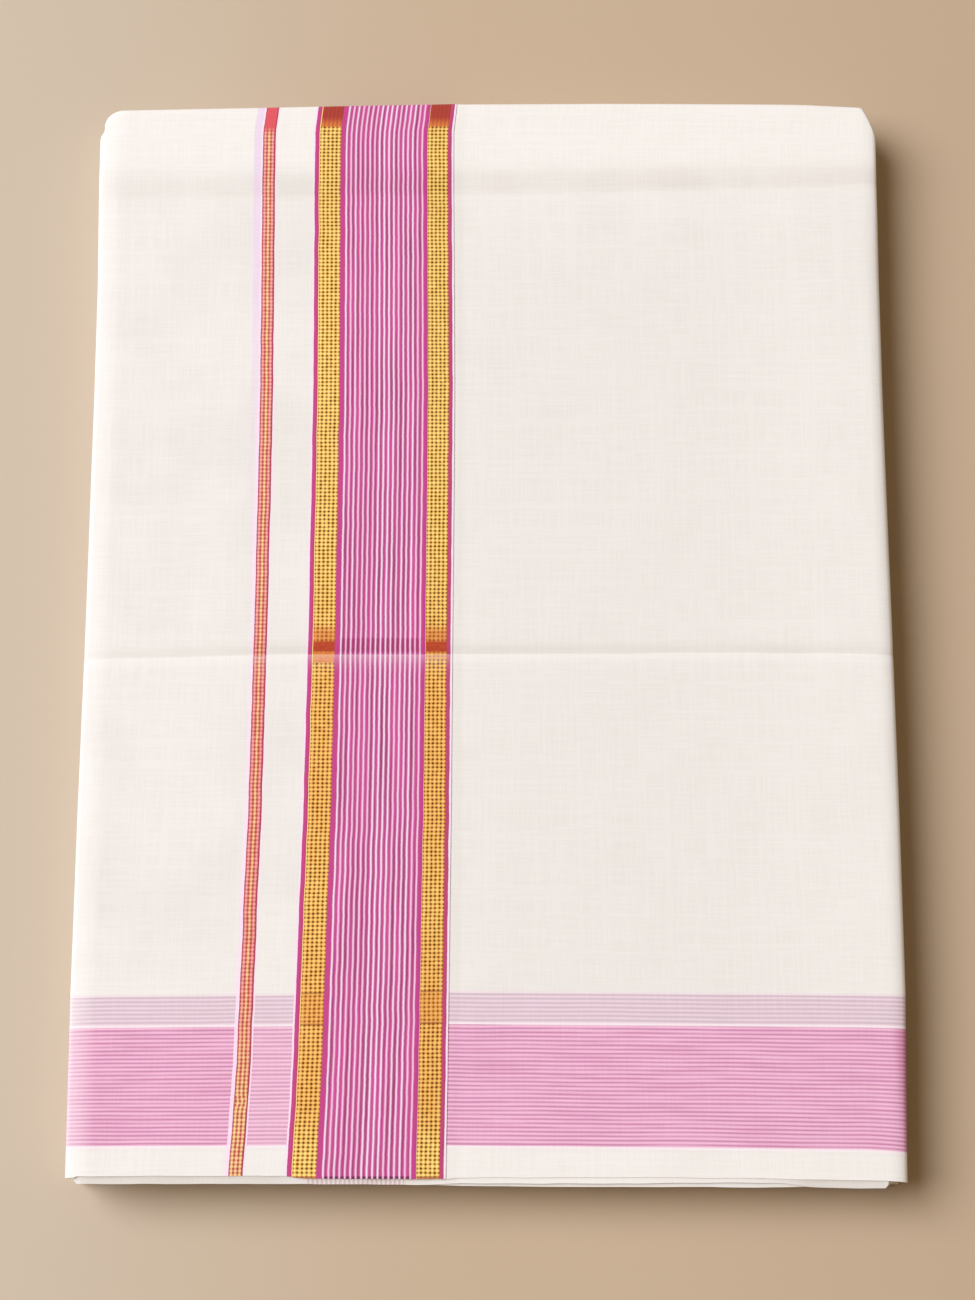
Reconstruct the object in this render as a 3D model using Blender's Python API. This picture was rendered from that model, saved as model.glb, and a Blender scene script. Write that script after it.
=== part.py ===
"""Dhoti cloth, folded flat into a pressed packet.

The cloth is wound in its width into a strip about 240 mm wide, with one bordered
selvedge left on top as a flap, and the strip is folded crosswise into twelve panels.
The packet lies on its last panel: X runs across it, Y from the cut end at the near
side to the folds at the far side, Z up, with the origin under its middle.
"""
import math
from collections import namedtuple

import bmesh
import bpy

MM = 0.001

# The packet
STACK_HEIGHT = 17.0 * MM
CUT_END = -163.9 * MM          # the near end of the top panel, where the cloth was cut
FAR_END = 166.6 * MM           # the far folds
CLOTH_WALL = 1.0 * MM          # wall that stands for the pressed plies of one stretch
GAP = 0.3 * MM                 # clearance between pieces that lie on each other

# The flap, and the front panel that goes in under it
SELVEDGE_STEP = 0.5 * MM       # how far the front panel lies below the flap
TUCK_LENGTH = 20.0 * MM        # how far the panel reaches in under the flap
TUCK_RAMP = 4.3 * MM           # width of the slope beside the selvedge
RIGHT_DROOP = 3.0 * MM         # radius of the front panel's soft right edge
DROOP_END = 10.0               # degrees above level at which the drooping edge stops

# The folds at the ends
NOSE_LENGTH = 4.0 * MM         # solid part of the far fold that joins panels 1 and 2
NOSE_DEPTH = 2.3 * MM
SIDE_ROUND = 0.9 * MM          # how deep the grooves between the side folds are
END_ROUND = 1.3 * MM           # the same between the folds at the two ends
SPLIT = 0.05 * MM              # half the height of the ledge below the far fold

# Plan of the packet in mm: distance from the cut end, left and right edges, selvedge
Plan = namedtuple("Plan", "from_cut left right selvedge")
PLAN = (
    Plan(0.0, -121.0, 120.8, -12.9),
    Plan(53.0, -121.2, 121.2, -11.9),
    Plan(105.0, -120.9, 121.0, -11.2),
    Plan(160.0, -120.3, 120.5, -10.9),
    Plan(235.0, -120.0, 120.2, -10.9),
    Plan(303.0, -120.5, 120.4, -11.1),
    Plan(330.0, -119.6, 120.3, -11.2),
)

# The two ends in mm at places across: the cut edge and the folds bow and run askew
Ends = namedtuple("Ends", "across cut near_fold far_fold")
ENDS = (
    Ends(-121.0, 0.0, -1.8, -2.0),
    Ends(-58.0, 0.0, -1.7, -1.0),
    Ends(-54.0, -0.9, -1.8, -0.9),
    Ends(-12.0, -0.8, -2.2, -0.3),
    Ends(32.0, -0.5, -2.4, 0.0),
    Ends(62.0, -0.9, -2.5, 0.0),
    Ends(98.0, -1.2, -2.7, -0.3),
    Ends(121.0, -1.3, -2.9, -1.2),
)

# Pressed creases: mm from the cut end at the left, middle and right; flanks; depths
Crease = namedtuple("Crease", "left middle right far_flank near_flank depth")
CREASES = (
    Crease(153.3, 154.5, 152.8, 4.5, 1.6, 0.40),
    Crease(302.0, 302.4, 303.4, 7.5, 1.8, 0.45),
)

# Corners of the packet in mm, across and along: rounded where the folds draw in
Corner = namedtuple("Corner", "across along")
NEAR_LEFT = Corner(3.2, 2.6)
NEAR_RIGHT = Corner(5.2, 3.4)
FAR_LEFT = Corner(7.4, 7.8)
FAR_RIGHT = Corner(5.2, 12.0)
CHAMFER = 1.3                  # the far right corner is nearly a chamfer

# How far each hidden panel lies off the plan in mm, from the top one down
Layer = namedtuple("Layer", "left right near far")
LAYERS = (
    Layer(0.9, 0.6, 0.30, 0.0),
    Layer(0.3, 0.9, 0.30, 0.5),
    Layer(0.8, 0.4, 0.00, 0.5),
    Layer(0.5, 1.0, 0.00, 1.1),
    Layer(1.1, 0.6, 0.55, 1.1),
    Layer(0.6, 0.3, 0.55, 0.4),
    Layer(0.9, 0.8, 0.15, 0.4),
    Layer(0.4, 0.5, 0.15, 0.9),
    Layer(1.0, 1.1, 0.70, 0.9),
    Layer(0.7, 0.6, 0.70, 0.6),
)
UNDER_INSET = 1.2 * MM         # the lowest panel lies this far inside the plan

CORE_BOTTOM = CLOTH_WALL + GAP
CORE_TOP = STACK_HEIGHT - CLOTH_WALL - GAP
LAYER_HEIGHT = (CORE_TOP - CORE_BOTTOM) / len(LAYERS)
FRONT_TOP = STACK_HEIGHT - SELVEDGE_STEP
DROOP_AXIS = FRONT_TOP - RIGHT_DROOP
MIDDLE = STACK_HEIGHT / 2      # the layers lie straight here, and bend towards both faces

CLOTH_WHITE = (0.89, 0.84, 0.79)
BORDER_PINK = (0.62, 0.30, 0.42)


def clear_scene():
    for thing in list(bpy.data.objects):
        bpy.data.objects.remove(thing)


def soft_step(value):
    value = min(max(value, 0.0), 1.0)
    return value * value * (3.0 - 2.0 * value)


def read_table(table, key, column, at):
    """Value of a column at a place, on straight lines between the table's rows (mm)."""
    at_mm = at / MM
    rows = list(table)
    for low, high in zip(rows, rows[1:]):
        if at_mm <= getattr(high, key):
            break
    start, end = getattr(low, key), getattr(high, key)
    share = min(max((at_mm - start) / (end - start), 0.0), 1.0)
    return (getattr(low, column) * (1.0 - share) + getattr(high, column) * share) * MM


def plan_edge(column, y):
    return read_table(PLAN, "from_cut", column, y - CUT_END)


def end_edge(column, x):
    base = FAR_END if column == "far_fold" else CUT_END
    return base + read_table(ENDS, "across", column, x)


def crease_line(crease, x):
    """Y of a crease at a place across; it bows between its two ends."""
    side = x / plan_edge("right", 0.0)
    outer = crease.right if side > 0 else crease.left
    return CUT_END + (crease.middle + (outer - crease.middle) * side * side) * MM


def crease_dip(x, y):
    """Depth of the creases below the flat face: a soft far flank and a short near one."""
    dip = 0.0
    for crease in CREASES:
        off = (y - crease_line(crease, x)) / MM
        flank = crease.far_flank if off > 0 else crease.near_flank
        dip += crease.depth * MM * (1.0 - soft_step(abs(off) / flank))
    return dip


def length_rows(x, near, far):
    """Y of the rows of points from the near end to the far one, closest at the creases."""
    rows = [near, near + (crease_line(CREASES[0], x) - near) * 0.5]
    for crease in CREASES:
        line = crease_line(crease, x)
        rows += [line - crease.near_flank * MM, line]
        rows += [line + crease.far_flank * MM * share for share in (0.35, 0.7, 1.0)]
    middle = (rows[6] + rows[7]) * 0.5
    return rows[:7] + [middle] + rows[7:] + [far]


def corner_drop(distance, corner):
    """How far a rounded corner has drawn an end in, by distance from the side edge."""
    share = min(max(1.0 - distance / (corner.across * MM), 0.0), 1.0)
    return corner.along * MM * (1.0 - math.sqrt(1.0 - share * share))


def chamfer_drop(distance):
    """The same at the far right corner, which is cut off nearly straight."""
    share = min(max(1.0 - distance / (FAR_RIGHT.across * MM), 0.0), 1.0)
    return FAR_RIGHT.along * MM * share ** CHAMFER


def new_object(name, points, faces, colour):
    """One closed piece of cloth with its own plain matt material."""
    mesh = bpy.data.meshes.new(name)
    work = bmesh.new()
    verts = [work.verts.new(point) for point in points]
    for face in faces:
        work.faces.new([verts[index] for index in face])
    bmesh.ops.recalc_face_normals(work, faces=work.faces)
    work.to_mesh(mesh)
    work.free()
    material = bpy.data.materials.new(name)
    material.use_nodes = True
    shader = material.node_tree.nodes["Principled BSDF"]
    shader.inputs["Base Color"].default_value = (*colour, 1.0)
    shader.inputs["Roughness"].default_value = 0.85
    shader.inputs["Metallic"].default_value = 0.0
    mesh.materials.append(material)
    piece = bpy.data.objects.new(name, mesh)
    bpy.context.collection.objects.link(piece)
    return piece


def loft(rings):
    """Points and faces of a solid through closed rings, with a face over each end."""
    count = len(rings[0])
    points = [point for ring in rings for point in ring]
    faces = [list(range(count))]
    for index in range(len(rings) - 1):
        for step in range(count):
            after = (step + 1) % count
            low, high = index * count, (index + 1) * count
            faces.append([low + step, low + after, high + after, high + step])
    faces.append(list(range(len(points) - count, len(points))))
    return points, faces


# One place across a stretch of cloth. place(y) gives x, z and the way into the stack;
# nose is the depth of the far fold there, solid over its length, and squash closes a
# rounded side edge.
Station = namedtuple("Station", "place near far nose length squash")
NOSE_ANGLES = (30, 60, 90, 120, 150, 180)


def wall_ring(station):
    """Closed loop round the wall: along its face, over the far fold and back below."""
    radius = station.nose / 2
    inner_end = station.far - station.length
    x_here = station.place(station.near)[0]
    rows = length_rows(x_here, station.near, inner_end)
    track = [(y, 0.0) for y in rows] + [(station.far - radius, 0.0)]
    for angle in NOSE_ANGLES:
        turn = math.radians(angle)
        y = station.far - radius + radius * math.sin(turn)
        track.append((y, radius - radius * math.cos(turn)))
    track.append((inner_end, station.nose))
    track += [(y, CLOTH_WALL) for y in reversed(rows)]
    ring = []
    for y, depth in track:
        x, z, inward_x, inward_z = station.place(y)
        half = CLOTH_WALL / 2
        depth = half + (depth - half) * station.squash
        ring.append((x + inward_x * depth, y, z + inward_z * depth))
    return ring


def flat_place(offset_from, offset, height):
    """A place that keeps its distance from an edge of the plan, on a level stretch."""
    def place(y):
        x = plan_edge(offset_from, y) + offset
        return x, height - crease_dip(x, y), 0.0, -1.0
    return place


def far_line(x, side_distance, corner):
    return end_edge("far_fold", x) - corner_drop(side_distance, corner)


def border_flap():
    """The stretch from the left fold to the bordered selvedge, the top one of all."""
    stations = []
    edge_round = CLOTH_WALL / 2
    for angle in (10, 40, 70):
        turn = math.radians(angle)
        inset = edge_round * (1.0 - math.cos(turn))
        x = plan_edge("left", CUT_END) + inset
        far = far_line(x, inset, FAR_LEFT)
        place = flat_place("left", inset, STACK_HEIGHT)
        stations.append(Station(place, end_edge("cut", x), far, NOSE_DEPTH, NOSE_LENGTH,
                                math.sin(turn)))
    for inset in (0.8, 2.2, 4.6, 8.0, 30.0, 60.0, 64.2, 67.4):
        x = plan_edge("left", CUT_END) + inset * MM
        far = far_line(x, inset * MM, FAR_LEFT)
        place = flat_place("left", inset * MM, STACK_HEIGHT)
        stations.append(Station(place, end_edge("cut", x), far, NOSE_DEPTH, NOSE_LENGTH, 1.0))
    for offset in (-22.0, -2.0, 0.0):
        x = plan_edge("selvedge", CUT_END) + offset * MM
        place = flat_place("selvedge", offset * MM, STACK_HEIGHT)
        far = end_edge("far_fold", x)
        stations.append(Station(place, end_edge("cut", x), far, NOSE_DEPTH, NOSE_LENGTH, 1.0))
    points, faces = loft([wall_ring(station) for station in stations])
    return new_object("border_flap", points, faces, BORDER_PINK)


def tucked_height(offset):
    """Face of the front panel by distance from the selvedge: it dips in under the flap."""
    low = STACK_HEIGHT - CLOTH_WALL - GAP
    return low + (FRONT_TOP - low) * soft_step((offset - GAP) / TUCK_RAMP)


def droop_place(angle):
    """A place on the rounded right edge, where the stretch bends down over the stack."""
    out, up = math.cos(math.radians(angle)), math.sin(math.radians(angle))

    def place(y):
        x = plan_edge("right", y) - RIGHT_DROOP + RIGHT_DROOP * out
        z = DROOP_AXIS + RIGHT_DROOP * up
        dip = crease_dip(x, y) * up
        return x - dip * out, z - dip * up, -out, -up
    return place


def front_panel():
    """The stretch right of the selvedge: tucked in at the left, drooping at the right."""
    stations = []
    blunt = CLOTH_WALL + SPLIT
    for offset in (-TUCK_LENGTH, -TUCK_LENGTH / 2, 0.0, GAP):
        x = plan_edge("selvedge", CUT_END) + offset
        far = end_edge("far_fold", x) - NOSE_LENGTH - GAP
        place = flat_place("selvedge", offset, tucked_height(offset))
        stations.append(Station(place, end_edge("cut", x), far, blunt, blunt, 1.0))
    for share in (0.0, 0.25, 0.5, 0.75, 1.0):
        offset = GAP + SPLIT + TUCK_RAMP * share
        x = plan_edge("selvedge", CUT_END) + offset
        height = tucked_height(offset)
        nose = blunt + (NOSE_DEPTH - blunt) * share
        place = flat_place("selvedge", offset, height)
        far = end_edge("far_fold", x)
        stations.append(Station(place, end_edge("cut", x), far, nose, NOSE_LENGTH, 1.0))
    for inset in (88.0, 58.0, 22.0, 6.0, 5.2, 4.0):
        x = plan_edge("right", CUT_END) - inset * MM
        far = end_edge("far_fold", x) - chamfer_drop(inset * MM)
        place = flat_place("right", -inset * MM, FRONT_TOP)
        stations.append(Station(place, end_edge("cut", x), far, NOSE_DEPTH, NOSE_LENGTH, 1.0))
    for angle in (90, 75, 60, 45, 30, 20, 14, DROOP_END):
        place = droop_place(angle)
        x = place(CUT_END)[0]
        share = (90.0 - angle) / (90.0 - DROOP_END)
        inset = RIGHT_DROOP * (1.0 - math.cos(math.radians(angle)))
        far = end_edge("far_fold", x) - chamfer_drop(inset)
        nose = NOSE_DEPTH + (blunt - NOSE_DEPTH) * soft_step(share * 3.0)
        squash = 0.35 if angle == DROOP_END else 1.0
        stations.append(Station(place, end_edge("cut", x), far, nose, NOSE_LENGTH, squash))
    points, faces = loft([wall_ring(station) for station in stations])
    return new_object("front_panel", points, faces, CLOTH_WHITE)


def bull_nose(height, fold_height, depth):
    """How far a rounded fold has drawn back at a height in it."""
    off_middle = 2.0 * height / fold_height - 1.0
    return depth * (1.0 - math.sqrt(max(0.0, 1.0 - off_middle * off_middle)))


def core_top(x, y):
    """Upper face of the hidden layers, a gap below the flap and the front panel."""
    selvedge = plan_edge("selvedge", CUT_END)
    widest = plan_edge("selvedge", 0.0)
    pocket = CORE_TOP - CLOTH_WALL - GAP
    beside = FRONT_TOP - CLOTH_WALL - GAP
    if x < widest:
        into = (x - (selvedge - TUCK_LENGTH - 3.0 * MM)) / (1.4 * MM)
        height = CORE_TOP + (pocket - CORE_TOP) * min(max(into, 0.0), 1.0)
    else:
        height = pocket + (beside - pocket) * soft_step((x - widest - GAP) / TUCK_RAMP)
    return height - crease_dip(x, y)


def core_bottom(x):
    """Lower face of the hidden layers, raised over the tuck of the lowest panel."""
    left = plan_edge("selvedge", CUT_END) - TUCK_LENGTH
    right = plan_edge("selvedge", 0.0) + GAP
    lift = CLOTH_WALL + GAP
    rise = min((x - left + 3.0 * MM) / (1.4 * MM), (right + TUCK_RAMP - x) / (1.4 * MM))
    return CORE_BOTTOM + lift * min(max(rise, 0.0), 1.0)


def layer_height(level, x, y):
    """Height of a layer's level: the layers bend with the faces above and below them."""
    near_top = soft_step((level - MIDDLE) / (CORE_TOP - LAYER_HEIGHT - MIDDLE))
    near_bottom = soft_step((MIDDLE - level) / (MIDDLE - CORE_BOTTOM))
    sink = (CORE_TOP - core_top(x, y)) * near_top
    return level - sink + (core_bottom(x) - CORE_BOTTOM) * near_bottom


# One level of the hidden layers: its height, and how far each edge has drawn in.
Level = namedtuple("Level", "height left right near far")
COLUMNS = (-95.0, -62.0, -36.0, -34.4, -31.0, -11.0, -8.6, -6.4, 28.0, 62.0, 92.0)


def core_levels():
    """Levels of all the hidden layers, from the lowest up: four to each layer."""
    levels = []
    below_nose = NOSE_LENGTH + 1.5 * GAP
    for index, layer in enumerate(reversed(LAYERS)):
        top_layer = index == len(LAYERS) - 1
        for share in (0.0, 0.16, 0.5, 0.84):
            up = share * LAYER_HEIGHT
            side = bull_nose(up, LAYER_HEIGHT, SIDE_ROUND)
            near_up = up + (index % 2) * LAYER_HEIGHT
            far_up = up + ((index + 1) % 2) * LAYER_HEIGHT
            near = bull_nose(near_up, 2.0 * LAYER_HEIGHT, END_ROUND) + layer.near * MM
            far = bull_nose(far_up, 2.0 * LAYER_HEIGHT, END_ROUND) + layer.far * MM
            height = CORE_BOTTOM + index * LAYER_HEIGHT + up
            left, right = side + layer.left * MM, side + layer.right * MM
            if top_layer and share == 0.0:
                levels.append(Level(height - SPLIT, left, right, near, far))
                height += SPLIT
            if top_layer:
                far = below_nose
            levels.append(Level(height, left, right, near, far))
    last = LAYERS[0]
    levels.append(Level(CORE_TOP, SIDE_ROUND + last.left * MM, SIDE_ROUND,
                        END_ROUND + last.near * MM, below_nose))
    return levels


def right_reach(level, y, inset):
    """Right edge of a level: open folds low down, and a round under the droop above."""
    if level <= DROOP_AXIS:
        return plan_edge("right", y) - inset
    radius = RIGHT_DROOP - CLOTH_WALL - GAP
    height = layer_height(level, plan_edge("right", y) - RIGHT_DROOP, 0.0)
    up = min(max((height - DROOP_AXIS) / radius, 0.0), 1.0)
    dip = crease_dip(plan_edge("right", y), y) * up
    return plan_edge("right", y) - RIGHT_DROOP + radius * math.sqrt(1.0 - up * up) - dip


def corner_points(centre, corner, start, power=1.0):
    """Points of a rounded corner, between its two ends; a higher power cuts it off."""
    points = []
    for step in (22.5, 45.0, 67.5):
        turn = math.radians(start + step)
        across = math.copysign(abs(math.cos(turn)) ** power, math.cos(turn))
        along = math.copysign(abs(math.sin(turn)) ** power, math.sin(turn))
        points.append((centre[0] + corner.across * MM * across,
                       centre[1] + corner.along * MM * along))
    return points


def core_outline(level):
    """Plan of one level, counter-clockwise: near side, right, far side, left."""
    def left_x(y):
        return plan_edge("left", y) + level.left

    def right_x(y):
        return right_reach(level.height, y, level.right)

    def near_y(x):
        return end_edge("near_fold", x) + level.near

    def far_y(x):
        return end_edge("far_fold", x) - level.far

    near_columns = [left_x(CUT_END) + NEAR_LEFT.across * MM]
    near_columns += [column * MM for column in COLUMNS]
    near_columns += [right_x(CUT_END) - NEAR_RIGHT.across * MM]
    far_columns = [left_x(FAR_END) + FAR_LEFT.across * MM] + near_columns[1:-1]
    far_columns += [right_x(FAR_END) - FAR_RIGHT.across * MM]
    near_side = [(x, near_y(x)) for x in near_columns]
    far_side = [(x, far_y(x)) for x in far_columns]
    right_rows = side_rows(right_x, near_side[-1][1] + NEAR_RIGHT.along * MM,
                           far_side[-1][1] - FAR_RIGHT.along * MM)
    left_rows = side_rows(left_x, near_side[0][1] + NEAR_LEFT.along * MM,
                          far_side[0][1] - FAR_LEFT.along * MM)
    right_side = [(right_x(y), y) for y in right_rows]
    left_side = [(left_x(y), y) for y in left_rows]
    near_right = corner_points((near_side[-1][0], right_side[0][1]), NEAR_RIGHT, -90.0)
    far_right = corner_points((far_side[-1][0], right_side[-1][1]), FAR_RIGHT, 0.0, 1.7)
    far_left = corner_points((far_side[0][0], left_side[-1][1]), FAR_LEFT, 90.0)
    near_left = corner_points((near_side[0][0], left_side[0][1]), NEAR_LEFT, 180.0)
    return near_side, near_right, right_side, far_right, far_side, far_left, left_side, near_left


def side_rows(edge, near, far):
    return length_rows(edge(0.0), near, far)


def folded_layers():
    """All the hidden layers as one solid, with every fold showing round its edges."""
    rings = []
    for level in core_levels():
        near, near_right, right, far_right, far, far_left, left, near_left = core_outline(level)
        plan = near + near_right + right + far_right + far[::-1] + far_left
        plan += left[::-1] + near_left
        rings.append([(x, y, layer_height(level.height, x, y)) for x, y in plan])
    points, faces = loft(rings)
    top_cap = faces.pop()
    bottom_cap = faces.pop(0)
    for cap, level, lower in ((top_cap, core_levels()[-1], False),
                              (bottom_cap, core_levels()[0], True)):
        new_points, new_faces = cap_grid(level, cap, len(points))
        points += new_points
        faces += [face[::-1] for face in new_faces] if lower else new_faces
    return new_object("folded_layers", points, faces, CLOTH_WHITE)


def cap_grid(level, ring, first_new):
    """Face over an end ring: a grid on its columns and rows, and a fan in each corner."""
    near, near_right, right, far_right, far, far_left, left, near_left = core_outline(level)
    parts, start = [], 0
    for side in (near, near_right, right, far_right, far, far_left, left, near_left):
        parts.append(ring[start:start + len(side)])
        start += len(side)
    near_i, near_right_i, right_i, far_right_i, far_i, far_left_i, left_i, near_left_i = parts
    far_i, left_i = far_i[::-1], left_i[::-1]
    points, grid = [], []
    for column, (low, high) in enumerate(zip(near, far)):
        ids = []
        for row in range(len(left)):
            share = row / (len(left) - 1)
            x = low[0] + (high[0] - low[0]) * share
            across = (x - left[row][0]) / (right[row][0] - left[row][0])
            y = left[row][1] + (right[row][1] - left[row][1]) * across
            y = length_rows(x, y, y)[row]
            ids.append(first_new + len(points))
            points.append((x, y, layer_height(level.height, x, y)))
        grid.append(ids)
    faces = []
    for column in range(len(near) - 1):
        here, after = grid[column], grid[column + 1]
        faces.append([near_i[column], near_i[column + 1], after[0], here[0]])
        faces.append([here[-1], after[-1], far_i[column + 1], far_i[column]])
        for row in range(len(left) - 1):
            faces.append([here[row], after[row], after[row + 1], here[row + 1]])
    for row in range(len(left) - 1):
        faces.append([left_i[row], grid[0][row], grid[0][row + 1], left_i[row + 1]])
        faces.append([grid[-1][row], right_i[row], right_i[row + 1], grid[-1][row + 1]])
    fans = (
        (grid[-1][0], [near_i[-1], *near_right_i, right_i[0]]),
        (grid[-1][-1], [right_i[-1], *far_right_i, far_i[-1]]),
        (grid[0][-1], [far_i[0], *far_left_i, left_i[-1]]),
        (grid[0][0], [left_i[0], *near_left_i, near_i[0]]),
    )
    for centre, arc in fans:
        faces += [[centre, low, high] for low, high in zip(arc, arc[1:])]
    return points, faces


def under_ring(x_of, near, far, low, high):
    """Section of a lowest stretch along its length: cut near end, far end rounded up."""
    track = [(near, low), (0.0, low), (far - 1.2 * MM, low), (far - 0.5 * MM, low + 0.15 * MM)]
    track += [(far - 0.1 * MM, low + 0.5 * MM), (far, high), (0.0, high), (near, high)]
    return [(x_of(y), y, z) for y, z in track]


def under_stretch(name, places, colour):
    """A stretch of the lowest panel. places: edge name, offset, lower and upper face."""
    rings = []
    for edge, offset, low, high in places:
        def x_of(y, edge=edge, offset=offset):
            return plan_edge(edge, y) + offset
        x = x_of(0.0)
        near = end_edge("cut", x) + UNDER_INSET / 2
        inset = min(x - plan_edge("left", 0.0), plan_edge("right", 0.0) - x)
        corner = FAR_LEFT if x < 0 else FAR_RIGHT
        far = far_line(x, inset - UNDER_INSET, corner) - UNDER_INSET / 2
        rings.append(under_ring(x_of, near, far, low, high))
    points, faces = loft(rings)
    return new_object(name, points, faces, colour)


def lowest_panel():
    """The panel that the packet rests on: its own flap and, beside it, its plain stretch."""
    thick = CLOTH_WALL
    quarter = thick / 4
    flap = [("left", UNDER_INSET, quarter * 1.6, thick - quarter),
            ("left", UNDER_INSET + quarter, quarter * 0.4, thick)]
    flap += [("left", inset * MM, 0.0, thick) for inset in (2.2, 3.4, 5.0, 9.0, 50.0)]
    flap += [("selvedge", 0.0, 0.0, thick)]
    lifted = thick + GAP
    plain = [("selvedge", -TUCK_LENGTH, lifted, lifted + thick),
             ("selvedge", 0.0, lifted, lifted + thick),
             ("selvedge", GAP, lifted, lifted + thick)]
    for share in (0.25, 0.5, 0.75, 1.0):
        rise = lifted * (1.0 - soft_step(share))
        plain.append(("selvedge", GAP + share * 0.5 * TUCK_RAMP, rise, rise + thick))
    plain += [("right", -inset * MM, 0.0, thick) for inset in (60.0, 8.0, 5.0, 3.4, 2.2)]
    plain += [("right", -UNDER_INSET - quarter, quarter * 0.4, thick),
              ("right", -UNDER_INSET, quarter * 1.6, thick - quarter)]
    under_stretch("under_flap", flap, BORDER_PINK)
    under_stretch("under_panel", plain, CLOTH_WHITE)


clear_scene()
border_flap()
front_panel()
folded_layers()
lowest_panel()
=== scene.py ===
"""Looks of the folded dhoti cloth, piece by piece, as the packet is put together."""
import math
from collections import namedtuple

import bpy
import numpy as np
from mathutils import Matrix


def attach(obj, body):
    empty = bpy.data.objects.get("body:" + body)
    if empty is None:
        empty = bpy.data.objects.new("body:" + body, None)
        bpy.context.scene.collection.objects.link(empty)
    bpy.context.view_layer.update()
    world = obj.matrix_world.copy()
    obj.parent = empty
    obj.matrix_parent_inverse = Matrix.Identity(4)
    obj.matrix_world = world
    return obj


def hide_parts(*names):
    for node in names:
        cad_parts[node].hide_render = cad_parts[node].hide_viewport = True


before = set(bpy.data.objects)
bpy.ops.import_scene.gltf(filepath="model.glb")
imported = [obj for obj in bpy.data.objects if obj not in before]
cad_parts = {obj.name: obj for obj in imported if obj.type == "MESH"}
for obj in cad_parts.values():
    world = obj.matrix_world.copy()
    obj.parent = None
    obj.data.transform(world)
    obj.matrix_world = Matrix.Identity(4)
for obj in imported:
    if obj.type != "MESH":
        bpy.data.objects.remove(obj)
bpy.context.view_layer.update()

# ----------------------------------------
# Border flap
# The bordered selvedge of the cloth, on top of the packet: one ply of fine cotton that
# comes round the left fold and lies open to its selvedge. The pink stripes and the zari,
# a gilt thread, are woven into it in the loom. It goes over the far fold unbroken.
# ----------------------------------------
MM = 0.001
STACK = 17.0                   # height of the packet; all sizes here are in millimetres
FACE = 16.9                    # the pressed face of the flap, before it swells
PLY = 0.22                     # one pressed ply of the cloth
PLY_GAP = 0.015                # between plies that lie on each other
STRIP = 1.42                   # the pressed plies of one panel
CUT_END = -163.9               # near end of the top panel, where the cloth was cut
FAR_END = 166.6                # the far folds

# Plan of the packet: its left and right edges and the selvedge, by distance from the cut
PLAN_FROM_CUT = (0.0, 25.0, 53.0, 105.0, 160.0, 207.0, 235.0, 270.0, 303.0, 321.0, 330.0)
PLAN_EDGES = {
    "left": (-121.0, -121.1, -121.2, -120.9, -120.3, -120.1, -119.95, -120.0, -120.6,
             -120.65, -120.4),
    "right": (119.4, 119.9, 120.6, 120.55, 120.2, 119.8, 119.6, 119.65, 119.85,
              119.95, 120.0),
    "selvedge": (-12.4, -12.0, -11.7, -11.2, -10.9, -10.6, -10.5, -10.7, -11.0,
                 -11.0, -10.0),
}
# The ends, by place across: the cut edge and the folds bow and run askew
END_ACROSS = (-121.0, -118.4, -117.6, -86.0, -58.0, -54.0, -13.0, -9.0, 32.0, 62.0, 78.0,
              88.0, 98.0, 112.0, 121.0)
END_LINES = {
    "cut": (-0.5, -0.35, 0.0, 0.0, 0.0, -0.7, -0.9, -0.45, -0.3, -0.5, -0.55,
            -0.95, -1.05, -1.25, -1.75),
    "near_fold": (-0.5, -0.5, -0.5, -0.55, -0.7, -0.8, -1.2, -1.25, -1.6, -1.8, -1.9,
                  -1.95, -2.1, -2.15, -2.2),
    "far_fold": (-2.0, -1.95, -1.93, -1.3, -0.7, -0.6, 0.25, 0.28, 0.5, 0.45, 0.35,
                 0.25, 0.1, -0.6, -1.1),
}
# Pressed creases: distance from the cut, how they wander and how strong they are by place
# across, widths of the two flanks, depth, how sharply the flanks bend down; then the width
# of the near lip and its painted light: below 0 a painted highlight, above 0 painted shade
CREASE_ACROSS = (-117.0, -98.0, -80.0, -56.0, 10.0, 81.0, 108.0, 117.0)
Crease = namedtuple("Crease", "from_cut wander strength far_flank near_flank depth bend "
                    "lip mark")
CREASES = (
    Crease(154.0, (-1.6, -1.3, -0.7, -0.1, 0.0, 0.2, 0.2, -0.4),
           (0.85, 0.85, 0.95, 1.0, 1.0, 1.0, 0.95, 0.9), 5.0, 3.4, 0.55, 1.8, 10.0, -0.6),
    Crease(302.2, (-2.9, -2.6, -2.2, -1.8, -0.3, 1.2, 1.9, 2.2),
           (0.45, 0.5, 0.6, 0.8, 1.25, 1.15, 1.0, 0.9), 9.5, 11.0, 0.60, 1.2, 3.0, 0.8),
)
Corner = namedtuple("Corner", "across along power")
FAR_LEFT = Corner(5.4, 4.2, 1.8)
FAR_RIGHT = Corner(4.2, 9.6, 1.2)
FAR_JOG = 11.0                 # how far from the far end the left fold steps in
FAR_JOG_WIDTH, FAR_JOG_INSET = 1.3, 1.25
SIDE_END = FAR_END - 12.0      # the sides are read up to here, short of the far corners

FOLD_NOSE = 1.45               # outer radius of the fold that joins panels 1 and 2
LEFT_FOLD = STRIP / 2          # half the height of the fold along the left side
LEFT_NOSE = 1.1                # and its reach
Roll = namedtuple("Roll", "width drop power")
LEFT_ROLL = Roll(7.5, 0.70, 2)         # the face rolls down towards the side folds
RIGHT_ROLL = Roll(5.2, 1.05, 3)
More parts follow.
